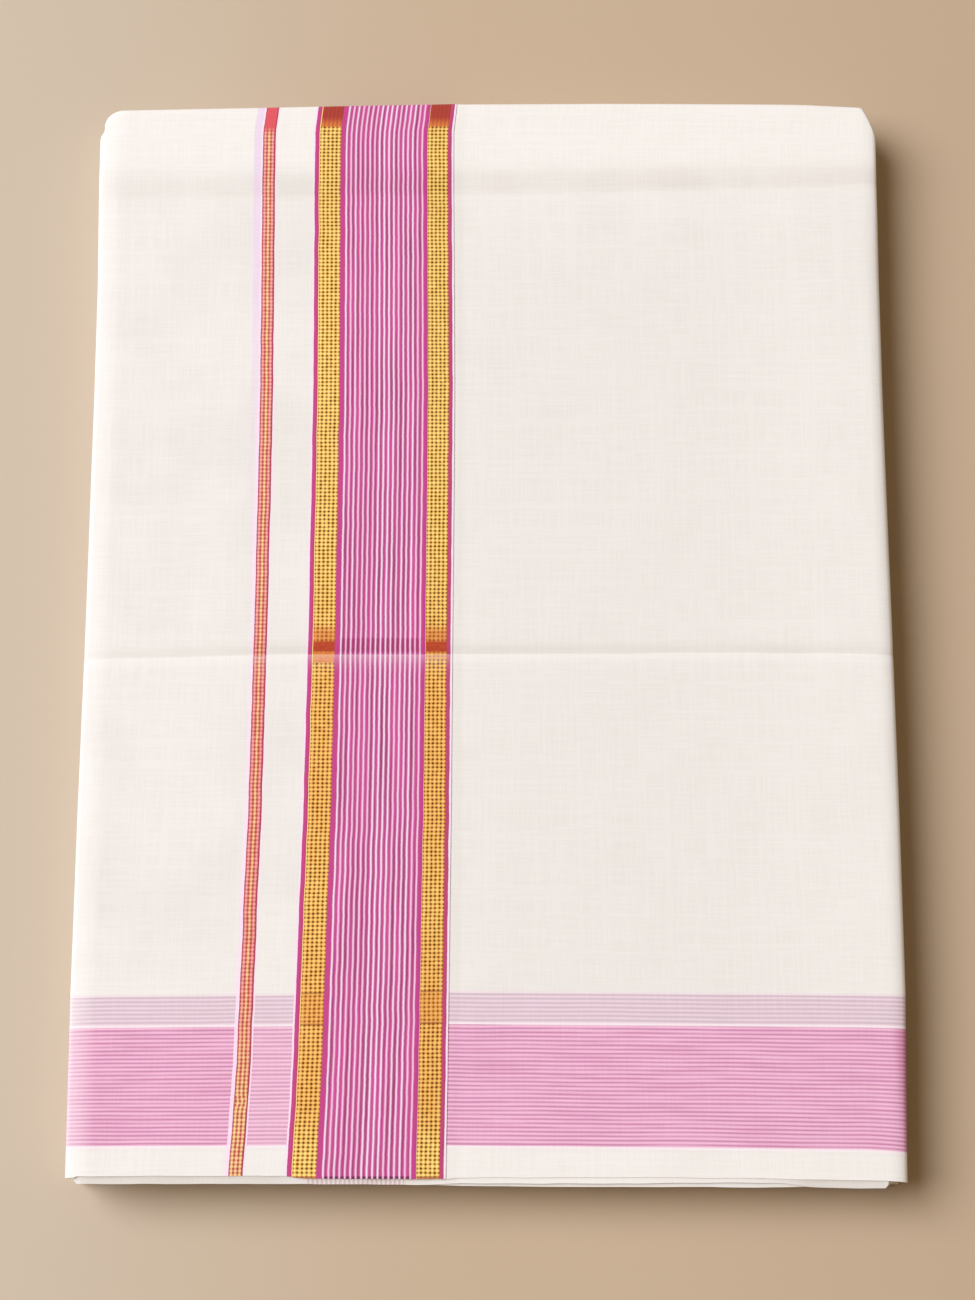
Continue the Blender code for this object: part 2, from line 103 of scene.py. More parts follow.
# The right roll is softer along the far part: how much, from which Y, over what length
SOFTER, SOFTER_FROM, SOFTER_OVER = 0.55, 110.0, 45.0
FACE_SWELL = 0.05              # unevenness of the pressed face
CUT_STRAY = 0.07               # and of the cut edge
PALER_WIDTH = 8.0                   # width of the paler strip beside the left fold
BACKS = (1.2, 2.6, 4.0)        # how far the returns of the side folds run in


def ease(value):
    value = np.clip(value, 0.0, 1.0)
    return value * value * (3.0 - 2.0 * value)


def plan_edge(name, y):
    edge = np.interp(y - CUT_END, PLAN_FROM_CUT, PLAN_EDGES[name])
    if name == "left":
        edge = edge + FAR_JOG_INSET * ease((y - FAR_END + FAR_JOG) / FAR_JOG_WIDTH)
    return edge


def end_edge(name, x):
    base = FAR_END if name == "far_fold" else CUT_END
    return base + np.interp(x, END_ACROSS, END_LINES[name])


def crease_line(crease, x):
    """Y of a crease at a place across."""
    return CUT_END + crease.from_cut + np.interp(x, CREASE_ACROSS, crease.wander)


def soft_waves(x, y, seed, shortest, longest, count=18):
    """Unevenness of pressed cloth, about -1 to 1: seeded waves that cross each other."""
    draw = np.random.default_rng(seed)
    total = np.zeros(np.broadcast(x, y).shape)
    for _ in range(count):
        turn, phase = draw.uniform(0.0, math.tau, 2)
        length = draw.uniform(shortest, longest)
        run = x * math.cos(turn) + y * math.sin(turn)
        total += np.sin(run * math.tau / length + phase)
    return total / math.sqrt(count)


def nearness(off, far_width, near_width):
    """1 at a line, falling to 0 at the two widths from it."""
    return np.clip(1.0 - np.where(off >= 0.0, off / far_width, -off / near_width), 0.0, 1.0)


def crease_dip(x, y):
    """Depth of the pressed creases: soft far flanks, short near ones, sharp lines."""
    dip = 0.0
    for number, crease in enumerate(CREASES):
        flank = nearness(y - crease_line(crease, x), crease.far_flank, crease.near_flank)
        strength = np.interp(x, CREASE_ACROSS, crease.strength)
        strength = strength * (1.0 + 0.2 * soft_waves(x, 0.0 * y, 30 + number, 25.0, 120.0))
        dip = dip + crease.depth * strength * flank ** crease.bend
    return dip


def painted_crease_shading(x, y):
    """Painted shade of the creases: up to 1 on the far flank; the near lip is painted light
    where its mark is below 0, painted shade where above.
    """
    shading = 0.0
    for crease in CREASES:
        off = y - crease_line(crease, x)
        flank = nearness(off, crease.far_flank, crease.lip)
        painted_shade = ease(flank ** crease.bend * 1.6)
        lip = crease.mark * flank * flank
        strength = np.interp(x, CREASE_ACROSS, crease.strength)
        shading = shading + strength * np.where(off >= 0.0, painted_shade, lip)
    return shading


def roll_down(roll, distance):
    return roll.drop * np.clip(1.0 - distance / roll.width, 0.0, 1.0) ** roll.power


def face_sink(x, y):
    """How far the pressed face of the packet lies below its highest level."""
    sink = crease_dip(x, y) + roll_down(LEFT_ROLL, x - plan_edge("left", y))
    crisp = 1.0 - SOFTER * ease((y - SOFTER_FROM) / SOFTER_OVER)
    sink = sink + crisp * roll_down(RIGHT_ROLL, plan_edge("right", y) - x)
    return sink - FACE_SWELL * soft_waves(x, y, 11, 16.0, 70.0)


def corner_drop(distance, corner):
    """How far a rounded corner draws the far fold in, by distance from the side."""
    share = np.clip(1.0 - distance / corner.across, 0.0, 1.0)
    return corner.along * (1.0 - (1.0 - share ** corner.power) ** (1.0 / corner.power))


# One warp line of a sheet: its x at each y, the face it follows, and how far below that
# face it runs, as it does on the underside of a side fold.
Line = namedtuple("Line", "across face depth near far")
SHARP_EDGE = math.radians(50.0)
NOSE_TURNS = np.radians(np.arange(15.0, 181.0, 15.0))
CUT_ROWS = 1.2                 # rows lie closest within this far of the cut
# Rows beside the cut, then before, on and after the two flanks of each crease
ROW_COUNTS = (3, 67, 9, 14, 64, 8, 15, 9)


def rows_between(knots, counts):
    """Places from the first knot to the last, a count of even steps in each stretch."""
    rows = []
    for low, high, count in zip(knots, knots[1:], counts):
        rows += [low + (high - low) * step / count for step in range(count)]
    return np.array(rows + [knots[-1]])


def length_rows(x, near, far):
    """Y of the rows along one warp line, closest at the cut end and at the creases."""
    knots = [near, near + CUT_ROWS]
    for crease in CREASES:
        line = float(crease_line(crease, x))
        knots += [line - crease.near_flank, line, line + crease.far_flank]
    return rows_between(knots + [far], ROW_COUNTS)


def follow_line(line, back=(1.0, 2.4)):
    """Points of a warp line: along its face, round the far fold and back below it."""
    start = line.far - FOLD_NOSE
    radius = FOLD_NOSE - line.depth
    flat = length_rows(float(line.across(0.0)), line.near, start)
    back = np.array(back)
    y = np.concatenate([flat, start + radius * np.sin(NOSE_TURNS), start - back])
    sink = np.concatenate([np.full(len(flat), line.depth),
                           FOLD_NOSE - radius * np.cos(NOSE_TURNS),
                           np.full(len(back), FOLD_NOSE + radius)])
    run = np.concatenate([flat, start + FOLD_NOSE * NOSE_TURNS,
                          start + FOLD_NOSE * math.pi + back])
    x = line.across(np.minimum(y, start))
    return np.stack([x, y, line.face(x, np.minimum(y, start)) - sink], axis=-1), run


def new_piece(name, mesh, cloth_map):
    """A selected object from a mesh, with its map of the cloth, in metres."""
    corners = np.empty(len(mesh.loops), dtype=np.int32)
    mesh.loops.foreach_get("vertex_index", corners)
    layer = mesh.uv_layers.new(name="cloth")
    layer.data.foreach_set("uv", (cloth_map.reshape(-1, 2)[corners] * MM).ravel())
    piece = bpy.data.objects.new(name, mesh)
    bpy.context.collection.objects.link(piece)
    bpy.ops.object.select_all(action="DESELECT")
    piece.select_set(True)
    bpy.context.view_layer.objects.active = piece
    return piece


def woven_sheet(name, points, cloth_map, tone_marks, ply, flip=False):
    """A sheet through a grid of points in millimetres, mapped along its own threads.

    The sheet gets its thickness inwards and smooth shading except at its cut edges. The
    fourth
    argument holds two marks for every point: painted shade and highlight in the creases, and
    paling beside the left fold.
    """
    across, along = points.shape[:2]
    spot = np.arange(across * along).reshape(across, along)
    quads = np.stack([spot[:-1, :-1], spot[1:, :-1], spot[1:, 1:], spot[:-1, 1:]], axis=-1)
    quads = quads.reshape(-1, 4)
    if flip:
        points = points * (1.0, 1.0, -1.0) + (0.0, 0.0, STACK)
        quads = quads[:, ::-1]
    mesh = bpy.data.meshes.new(name)
    mesh.from_pydata((points.reshape(-1, 3) * MM).tolist(), [], quads.tolist())
    piece = new_piece(name, mesh, cloth_map)
    for mark, values in zip(("crease_shading", "left_paling"), tone_marks):
        attribute = mesh.attributes.new(mark, "FLOAT", "POINT")
        attribute.data.foreach_set("value", np.ravel(values).astype(np.float32))
    wall = piece.modifiers.new("ply", "SOLIDIFY")
    wall.thickness = ply * MM
    wall.offset = -1.0
    bpy.ops.object.modifier_apply(modifier=wall.name)
    bpy.ops.object.shade_smooth_by_angle(angle=SHARP_EDGE)
    return piece


# Where the weft lies askew: how far the cross bands run off square, near and further in
BOW_START, BOW_RUN = 8.0, 44.0         # from the near bow to the further one
BOW_KEPT, BOW_FADE = 55.0, 60.0        # where it begins to fade, and over what length
BOW_ACROSS = (-121.0, -62.0, -10.0, 60.0, 108.0, 121.0)
BOW_NEAR = (0.0, 0.3, 0.3, -0.3, -0.85, -1.7)
BOW_FURTHER = (-0.8, -0.2, 0.7, 0.2, -0.2, -0.35)
# The warp spreads towards the cut end
SPREAD_FROM_CUT = (0.0, 33.0, 53.0, 84.0, 105.0, 160.0)
SPREAD = (1.057, 1.036, 1.03, 1.02, 1.01, 1.0)


def weft_place(x, run):
    """Distance along the warp from the cut, with the bow of the weft taken out."""
    from_cut = run - CUT_END
    share = np.clip((from_cut - BOW_START) / BOW_RUN, 0.0, 1.0)
    near = np.interp(x, BOW_ACROSS, BOW_NEAR)
    further = np.interp(x, BOW_ACROSS, BOW_FURTHER)
    fade = 1.0 - ease((from_cut - BOW_KEPT) / BOW_FADE)
    return from_cut - (near + (further - near) * share) * fade


def warp_place(x, run):
    """Distance across from the selvedge, as woven."""
    from_cut = run - CUT_END
    return (plan_edge("selvedge", run) - x) / np.interp(from_cut, SPREAD_FROM_CUT, SPREAD)


def map_sheet(lines, paler_width=0.0):
    """Points, cloth map, painted crease shading and paling of a sheet through its warp
    lines.
    """
    points, cloth_map, crease_shading, left_paling = [], [], [], []
    for line in lines:
        track, run = follow_line(line)
        points.append(track)
        x, y = track[:, 0], np.minimum(track[:, 1], line.far - FOLD_NOSE)
        cloth_map.append(np.stack([warp_place(x, np.minimum(run, FAR_END)),
                                   weft_place(x, run)], axis=-1))
        # painted shade and highlight of the creases
        crease_shading.append(painted_crease_shading(x, y))
        distance = x - plan_edge("left", y)
        paler_share = np.clip(1.0 - distance / paler_width, 0.0, 1.0) if paler_width else 0.0 * x
        left_paling.append(paler_share)
    return np.array(points), np.array(cloth_map), (np.array(crease_shading), np.array(left_paling))


def warp_line(across, depth, face, side, inset, near_inset, seed):
    """A warp line, ended at the cut edge and at the far fold."""
    x_near, x_far = float(across(CUT_END)), float(across(SIDE_END))
    distance = abs(x_far - float(plan_edge(side, SIDE_END))) - inset
    far = float(end_edge("far_fold", x_far)) - inset / 2
    far -= float(corner_drop(distance, FAR_LEFT if side == "left" else FAR_RIGHT))
    near = float(end_edge("cut", x_near)) + near_inset
    near += CUT_STRAY * float(soft_waves(x_near, 0.0, seed, 4.0, 30.0))
    return Line(across, face, depth, near, far)


def flap_face(x, y):
    return FACE - face_sink(x, y)


def flap_lines(face=flap_face, inset=0.0, near_inset=0.0):
    """Warp lines of a flap, from the return of the left fold to the selvedge."""
    shares = np.concatenate([
        np.linspace(0.0, 0.03, 9)[:-1], np.linspace(0.03, 0.08, 9)[:-1],
        np.linspace(0.08, 0.97, 50), np.array([0.98, 0.988, 0.994, 0.998, 1.0])])

    def folded(shift):
        return lambda y: plan_edge("left", y) + inset + shift

    def spread(share):
        def across(y):
            left = plan_edge("left", y) + inset + LEFT_NOSE
            return left + (plan_edge("selvedge", y) - left) * share
        return across

    places = [(folded(LEFT_NOSE + back), 2 * LEFT_FOLD) for back in BACKS[::-1]]
    for turn in NOSE_TURNS[::-1]:
        places.append((folded(LEFT_NOSE * (1.0 - math.sin(turn))),
                       LEFT_FOLD - LEFT_FOLD * math.cos(turn)))
    places += [(spread(share), 0.0) for share in shares]
    return [warp_line(*place, face, "left", inset, near_inset, 5) for place in places]


flap_cloth = woven_sheet("flap_cloth", *map_sheet(flap_lines(), PALER_WIDTH), PLY)


def finish_piece(piece, material, node=None):
    """Material and record of one stretch of the cloth; node is the solid it stands for."""
    piece.data.materials.append(material)
    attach(piece, "root")
    if node:
        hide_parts(node)


# Dyes and threads, as they look in plain daylight
def dyed(red, green, blue, share=0.94):
    """Colour of a thread from its shade on a 255 scale, as the shader wants it."""
    def line(value):
        value = value / 255.0
        return value / 12.92 if value <= 0.04045 else ((value + 0.055) / 1.055) ** 2.4
    return (line(red) * share, line(green) * share, line(blue) * share, 1.0)


class Wire:
    """A number on its way through a shader group, so that sums read as sums."""

    def __init__(self, tree, socket):
        self.tree, self.socket = tree, socket

    def join(self, operation, *others):
        node = self.tree.nodes.new("ShaderNodeMath")
        node.operation = operation
        for slot, value in zip(node.inputs, (self, *others)):
            if isinstance(value, Wire):
                self.tree.links.new(value.socket, slot)
            else:
                slot.default_value = value
        return Wire(self.tree, node.outputs[0])

    def __add__(self, other):
        return self.join("ADD", other)

    def __sub__(self, other):
        return self.join("SUBTRACT", other)

    def __mul__(self, other):
        return self.join("MULTIPLY", other)

    def __truediv__(self, other):
        return self.join("DIVIDE", other)

    def flipped(self):
        return (self * -1.0) + 1.0

    def most(self, other):
        return self.join("MAXIMUM", other)

    def rise(self, start, end):
        """0 below start, 1 above end, and soft between them."""
        node = self.tree.nodes.new("ShaderNodeMapRange")
        node.interpolation_type = "SMOOTHSTEP"
        self.tree.links.new(self.socket, node.inputs["Value"])
        node.inputs["From Min"].default_value = start
        node.inputs["From Max"].default_value = end
        return Wire(self.tree, node.outputs["Result"])

    def between(self, low, high, soft=0.06):
        """1 from low to high, with soft edges."""
        climb = self.rise(low - soft, low + soft)
        return climb * self.rise(high - soft, high + soft).flipped()

    def ridges(self, pitch, first=0.0, sharp=1.0):
        """1 on each line of a row of lines, 0 halfway between them."""
        wave = ((self - first) * (math.tau / pitch)).join("COSINE") * 0.5 + 0.5
        return wave if sharp == 1.0 else wave.join("POWER", sharp)

    def speckle(self, other, detail=1.0):
        """Soft noise, about 0.3 to 0.7, over two numbers that are already scaled."""
        place = self.tree.nodes.new("ShaderNodeCombineXYZ")
        self.tree.links.new(self.socket, place.inputs[0])
        self.tree.links.new(other.socket, place.inputs[1])
        noise = self.tree.nodes.new("ShaderNodeTexNoise")
        noise.noise_dimensions = "2D"
        noise.inputs["Scale"].default_value = 1.0
        noise.inputs["Detail"].default_value = detail
        self.tree.links.new(place.outputs[0], noise.inputs["Vector"])
        return Wire(self.tree, noise.outputs[0])

    def scatter(self, other):
        """A random number for each cell of two rounded numbers."""
        place = self.tree.nodes.new("ShaderNodeCombineXYZ")
        self.tree.links.new(self.join("ROUND").socket, place.inputs[0])
        self.tree.links.new(other.join("ROUND").socket, place.inputs[1])
        noise = self.tree.nodes.new("ShaderNodeTexWhiteNoise")
        noise.noise_dimensions = "2D"
        self.tree.links.new(place.outputs[0], noise.inputs["Vector"])
        return Wire(self.tree, noise.outputs["Value"])


def blend(share, low, high, kind="MIX"):
    """A colour between two, each a dye or the wire of another colour."""
    node = share.tree.nodes.new("ShaderNodeMix")
    node.data_type = "RGBA"
    node.blend_type = kind
    share.tree.links.new(share.socket, node.inputs[0])
    for slot, colour in ((node.inputs[6], low), (node.inputs[7], high)):
        if isinstance(colour, Wire):
            share.tree.links.new(colour.socket, slot)
        else:
            slot.default_value = colour
    return Wire(share.tree, node.outputs[2])


def shaded(share, colour, factors):
    """A colour multiplied by three factors, by a share from 0 to 1."""
    return blend(share, colour, (*factors, 1.0), "MULTIPLY")


def new_group(name, exits):
    """An empty shader group: two places on the cloth come in, the exits go out."""
    group = bpy.data.node_groups.new(name, "ShaderNodeTree")
    for entry in ("Across", "Along"):
        group.interface.new_socket(entry, in_out="INPUT", socket_type="NodeSocketFloat")
    for label, kind in exits:
        group.interface.new_socket(label, in_out="OUTPUT", socket_type=kind)
    inlet = group.nodes.new("NodeGroupInput")
    outlet = group.nodes.new("NodeGroupOutput")
    wires = [Wire(group, socket) for socket in inlet.outputs[:2]]
    return group, wires, outlet


WARP_PITCH, WEFT_PITCH = 0.72, 0.66    # between crossings of the plain weave


def weave_group():
    """Plain weave of fine cotton: thread relief, slubs and uneven yarn."""
    group, (u, v), outlet = new_group(
        "plain weave", (("Tone", "NodeSocketFloat"), ("Relief", "NodeSocketFloat")))
    warp_yarn = (u * 2.9).speckle(v * 0.11, 0.0)
    weft_yarn = (u * 0.11).speckle(v * 2.9, 0.0)
    slub = (u * 0.9).speckle(v * 0.016, 0.0).most((u * 0.016).speckle(v * 0.9, 0.0))
    over = u.ridges(WARP_PITCH) * v.ridges(WEFT_PITCH)
    over = over + (u.ridges(WARP_PITCH, WARP_PITCH / 2)
                   * v.ridges(WEFT_PITCH, WEFT_PITCH / 2))
    tone = (warp_yarn + weft_yarn + slub) / 3.0
    relief = over * 0.5 + warp_yarn * 0.67 + weft_yarn * 0.67
    group.links.new(tone.socket, outlet.inputs["Tone"])
    group.links.new(relief.socket, outlet.inputs["Relief"])
    return group


COTTON_MATT = 0.86             # roughness of the cotton
COTTON = dyed(243, 236, 230)
COTTON_SHADE = dyed(238, 231, 225)
COTTON_PALE = dyed(247, 240, 234)
ROSE = dyed(196, 70, 112)
MAGENTA = dyed(200, 70, 138)
VIOLET = dyed(193, 65, 141)
HALO = dyed(255, 226, 244)
THIN_EDGE = dyed(170, 62, 84)
STRIPE_LINE = dyed(255, 232, 250)
GOLD = dyed(255, 230, 142)
GOLD_MID = dyed(236, 179, 80)
GOLD_DOT = dyed(98, 54, 10)
RUST = dyed(186, 70, 42)
RAMP_START, RAMP_WIDTH = -2.0, 66.0
# Warp colours from the selvedge leftwards: where each starts, its dye and its cover
WARP_COLOURS = (
    (-2.0, COTTON, 0.0),
    (0.0, HALO, 1.0),
    (0.40, dyed(182, 74, 120), 1.0),
    (0.95, ROSE, 1.0),
    (1.75, GOLD, 1.0),
    (7.95, VIOLET, 1.0),
    (8.75, MAGENTA, 1.0),
    (33.45, MAGENTA, 1.0),
    (34.95, GOLD, 1.0),
    (41.35, ROSE, 1.0),
    (42.0, MAGENTA, 1.0),
    (42.72, HALO, 1.0),
    (43.2, COTTON, 0.0),
    (54.05, HALO, 0.8),
    (54.55, THIN_EDGE, 1.0),
    (55.1, ROSE, 1.0),
    (58.0, THIN_EDGE, 1.0),
    (58.55, HALO, 0.9),
    (59.5, COTTON, 0.0),
)
STRIPED = (9.35, 33.45)        # the striped middle of the border
STRIPE_FIRST, STRIPE_PITCH = 9.65, 1.466
ROW_PITCH = 1.21
Zari = namedtuple("Zari", "start end middle pitch")
RIGHT_ZARI = Zari(1.75, 7.95, 4.85, 1.24)
LEFT_ZARI = Zari(34.95, 41.35, 38.15, 1.29)
THIN_ZARI = Zari(55.1, 58.4, 56.75, 1.15)


def warp_stripes(tree, u):
    """Colour and cover of the warp stripes, on a ramp from the selvedge."""
    ramp = tree.nodes.new("ShaderNodeValToRGB")
    ramp.color_ramp.interpolation = "CONSTANT"
    stops = ramp.color_ramp.elements
    for start, dye, cover in WARP_COLOURS:
        place = (start - RAMP_START) / RAMP_WIDTH
        stop = stops[0] if place == 0.0 else stops.new(place)
        stop.position = place
        stop.color = (*dye[:3], cover)
    stops.remove(stops[-1])
    tree.links.new(((u - RAMP_START) / RAMP_WIDTH).socket, ramp.inputs[0])
    return Wire(tree, ramp.outputs["Color"]), Wire(tree, ramp.outputs["Alpha"])


PINK_BAND, PALE_BAND = (8.4, 42.8), (43.5, 51.9)       # from the cut, and their picks
PICK_PITCH, PALE_PICK_PITCH = 1.17, 1.24
# Single picks along their edges: where each starts and ends, how soft it is, its dye
EDGE_PICKS = (
    (43.0, 43.4, 0.08, dyed(255, 232, 244)),
    (51.9, 52.5, 0.2, dyed(243, 226, 228)),
    (7.6, 8.3, 0.2, dyed(252, 236, 240)),
)
INNER_THREADS = (-302.0, -274.0)       # dyed threads, on the inner plies' own map


def weft_bands(u, v):
    """Plain ground, and the pink and pale bands woven across it near the cut end."""
    cloud = (u * 0.03).speckle(v * 0.03, 2.0).rise(0.25, 0.65)
    middle = u.between(-95.0, 6.0, 28.0) * v.between(22.0, 290.0, 22.0)
    cloud = cloud.flipped() * (u.rise(-95.0, -75.0) * 0.6 + 0.4)
    colour = blend(cloud.most(middle * 0.85), COTTON, COTTON_SHADE)
    # paler along the far end: painted light where the face tilts towards the light; paler
    # also near the cut, below the pink band
    pale_ends = v.rise(304.0, 312.0).most(v.rise(PINK_BAND[0], 6.0) * 0.6)
    colour = blend(pale_ends, colour, COTTON_PALE)
    pick = v + ((u * 0.035).speckle(v * 0.06) - 0.5) * 0.5
    streak = (u * 0.04).speckle(v * 0.85)
    picks = pick.ridges(PICK_PITCH, 0.2, 0.7)
    pink = blend(picks, dyed(200, 132, 166), dyed(250, 192, 220))
    pink = blend(streak.rise(0.45, 0.75) * 0.3, pink, dyed(252, 196, 220))
    pink = blend(streak.rise(0.5, 0.25) * 0.25, pink, dyed(214, 138, 176))
    pink = blend(u.between(43.2, 54.0) * 0.14, pink, dyed(250, 240, 244))
    # painted shade: the pink bands darker along the right fold, which turns away from the
    # light
    pink = blend(u.rise(-123.3, -127.3) * 0.42, pink, dyed(196, 78, 132))
    pale = blend(pick.ridges(PALE_PICK_PITCH, 0.1), dyed(215, 190, 201), dyed(239, 214, 223))
    colour = blend(v.between(*PINK_BAND, 0.1), colour, pink)
    colour = blend(v.between(*PALE_BAND, 0.15), colour, pale)
    for start, end, soft, dye in EDGE_PICKS:
        colour = blend(v.between(start, end, soft), colour, dye)
    # a few dyed threads of the plies wound inside: they show at the cut end only
    inner = u.between(*INNER_THREADS, 1.0) * u.ridges(1.3) * v.rise(2.2, 1.0)
    return blend(inner * 0.45, colour, dyed(196, 112, 150))


def weft_relief(v):
    return v.between(PINK_BAND[0], PALE_BAND[1]) * v.ridges(PICK_PITCH, 0.2) * 0.8


def weft_group():
    """The ground and its weft bands alone, for what lies clear of the border."""
    group, (u, v), outlet = new_group(
        "weft pattern", (("Color", "NodeSocketColor"), ("Relief", "NodeSocketFloat")))
    colour = weft_bands(u, v)
    relief = weft_relief(v)
    group.links.new(colour.socket, outlet.inputs["Color"])
    group.links.new(relief.socket, outlet.inputs["Relief"])
    return group


def gilt_grid(u, v, zari, uneven):
    """Gilt floats bound down by dark dots: dots in their own rows and columns."""
    level = (u.ridges(zari.pitch, zari.middle) + v.ridges(ROW_PITCH)) * 0.5 + uneven
    gilt = blend(level.rise(0.04, 0.5), GOLD_DOT, GOLD_MID)
    return blend(level.rise(0.42, 0.98), gilt, GOLD), level.rise(0.1, 0.5)


def loom_group():
    """The woven pattern: warp stripes with zari, and the weft bands near the cut end."""
    group, (u, v), outlet = new_group(
        "loom pattern", (("Color", "NodeSocketColor"), ("Zari", "NodeSocketFloat"),
                         ("Relief", "NodeSocketFloat")))
    threads = u
    stray = (v * 0.12).speckle(u * 0.03) - 0.5
    fine_stray = (v * 0.9).speckle(u * 0.4) - 0.5
    u = u + stray * 0.3 + fine_stray * 0.1
    # the thin stripe lies a little further out along the far half
    u = u - u.rise(46.0, 52.0) * v.rise(30.0, 150.0) * 0.4
    ground = weft_bands(u, v)

    # the striped middle of the border, its dyed yarns uneven from one to the next
    warp, cover = warp_stripes(group, u)
    number = (u - STRIPE_FIRST) / STRIPE_PITCH
    yarn = (u * 1.36).speckle(v * 0.02).rise(0.34, 0.66)
    patch = (u * 0.8).speckle(v * 0.1).rise(0.35, 0.65)
    between_lines = blend(yarn, dyed(164, 62, 116), dyed(212, 76, 154))
    between_lines = blend(patch * 0.35, between_lines, dyed(186, 84, 132))
    line_share = number.ridges(1.0, 0.0, 2.7)
    line_dye = blend(number.scatter(number * 0.0).rise(0.3, 1.0) * 0.6, STRIPE_LINE,
                     dyed(252, 184, 220))
    striped = u.between(*STRIPED, 0.02)
    warp = blend(striped, warp, blend(line_share, between_lines, line_dye))

    # zari: two wide gilt stripes and a thin one on coral
    uneven = ((u * 0.8).scatter(v / ROW_PITCH) - 0.5) * 0.14 + fine_stray * 0.2
    right = u.between(RIGHT_ZARI.start, RIGHT_ZARI.end, 0.05)
    left = u.between(LEFT_ZARI.start, LEFT_ZARI.end, 0.05)
    thin = u.between(THIN_ZARI.start, THIN_ZARI.end, 0.05)
    zari = right.most(left)
    right_gilt, right_level = gilt_grid(u, v, RIGHT_ZARI, uneven)
    left_gilt, left_level = gilt_grid(u, v, LEFT_ZARI, uneven)
    gilt = blend(left, right_gilt, left_gilt)
    level = right_level + (left_level - right_level) * left
    warp = blend(zari, warp, dulled_gilt(u, v, gilt, left))
    kink = v.between(19.5, 22.5, 1.5) * 0.4
    coral = thin_gilt(u + kink, v, uneven)
    warp = blend(thin, warp, coral)

    # painted shade on the stripes in the far flank of the main crease, and on the stripes
    # and zari at the tip where the cloth was cut and turns under
    crease_shading = v.between(154.4, 158.5, 0.5) * striped * line_share.flipped()
    warp = blend(crease_shading * 0.6, warp, dyed(160, 34, 96))
    tip = v.rise(-0.2, -0.55)
    warp = blend(tip * striped * line_share.flipped() * 0.8, warp, dyed(92, 30, 56))
    warp = blend(tip * zari * 0.8, warp, dyed(176, 104, 62))

    colour = blend(cover, ground, warp)
    lilac = u.between(59.2, 61.3, 0.4) * v.rise(165.0, 310.0)
    colour = blend(lilac * 0.9, colour, dyed(240, 216, 236))
    # the relief of stripes and floats, even from thread to thread
    lines = ((threads - STRIPE_FIRST) / STRIPE_PITCH).ridges(1.0, 0.0, 2.7)
    relief = threads.between(*STRIPED) * lines * 0.8
    for stripe in (RIGHT_ZARI, LEFT_ZARI):
        floats = (threads.ridges(stripe.pitch, stripe.middle) + v.ridges(ROW_PITCH)) * 0.45
        relief = relief + threads.between(stripe.start, stripe.end) * floats
    clear = threads.between(0.0, 43.2).flipped()
    relief = relief + weft_relief(v) * clear
    group.links.new(colour.socket, outlet.inputs["Color"])
    plain = v.between(151.0, 157.7, 0.3).most(v.rise(322.2, 323.2)).flipped()
    group.links.new((zari * level * plain).socket, outlet.inputs["Zari"])
    group.links.new(relief.socket, outlet.inputs["Relief"])
    return group


# Stretches of the zari, from the cut, where the main crease has closed up its dots
ORANGE_CREASE, RUST_CREASE, TINGED = (151.0, 154.4), (154.4, 157.6), (157.0, 161.5)
# and where it goes over the bands and over the far fold
CROSSING, FOLD_REDDENS = (43.0, 52.3), (322.6, 326.2)


def dulled_gilt(u, v, gilt, left):
    """Zari with its dots closed up to plain rust and orange in the creases and folds."""
    grain = (u * 0.5).speckle(v * 2.4).rise(0.3, 0.7)
    tinge = v.between(*TINGED, 1.5) * 0.55
    gilt = blend(tinge, gilt, dyed(206, 98, 44))
    rust = blend(grain * 0.5, RUST, dyed(206, 96, 52))
    gilt = blend(v.between(*RUST_CREASE, 0.35), gilt, rust)
    orange = blend(grain * 0.6, dyed(222, 136, 62), dyed(240, 166, 84))
    gilt = blend(v.between(*ORANGE_CREASE, 0.3) * left, gilt, orange)
    gilt = blend(v.between(151.8, 154.4, 0.4) * left.flipped() * 0.5, gilt, orange)
    # deeper amber along the nearer half, where more of the ground shows through
    amber = v.rise(195.0, 135.0) * v.rise(7.0, 20.0)
    amber = amber - v.between(64.0, 94.0, 14.0) * amber * 0.45
    gilt = shaded(amber, gilt, (0.97, 0.79, 0.70))
    crossing = v.between(*CROSSING, 0.3)
    gilt = blend(crossing * 0.25, gilt, dyed(214, 116, 44))
    gilt = blend((v.between(42.9, 43.5) + v.between(52.1, 52.6)) * 0.5, gilt,
                 dyed(132, 62, 30))
    # over the far fold
    over = blend(v.rise(*FOLD_REDDENS), dyed(228, 128, 60), dyed(178, 64, 50))
    over = blend(u.ridges(1.24, 0.55, 1.5) * 0.4, over, dyed(146, 50, 46))
    return blend(v.rise(322.4, 322.9), gilt, over)


def thin_gilt(u, v, uneven):
    """The thin stripe: coral, with three columns of gilt dots, the middle one strongest."""
    columns = u.ridges(THIN_ZARI.pitch, THIN_ZARI.middle)
    level = columns * 0.6 + v.ridges(ROW_PITCH) * 0.4 + uneven
    centre = u.between(56.25, 57.25, 0.2)
    strong = v.rise(60.0, 20.0)
    light = blend(centre.most(strong), dyed(253, 174, 165), dyed(255, 212, 146))
    thin = blend(level.rise(0.1, 0.9), dyed(190, 78, 75), light)
    thin = shaded(v.rise(165.0, 145.0) * v.rise(20.0, 32.0), thin, (0.985, 0.90, 0.92))
    return blend(v.rise(319.8, 323.0), thin, dyed(228, 88, 98))


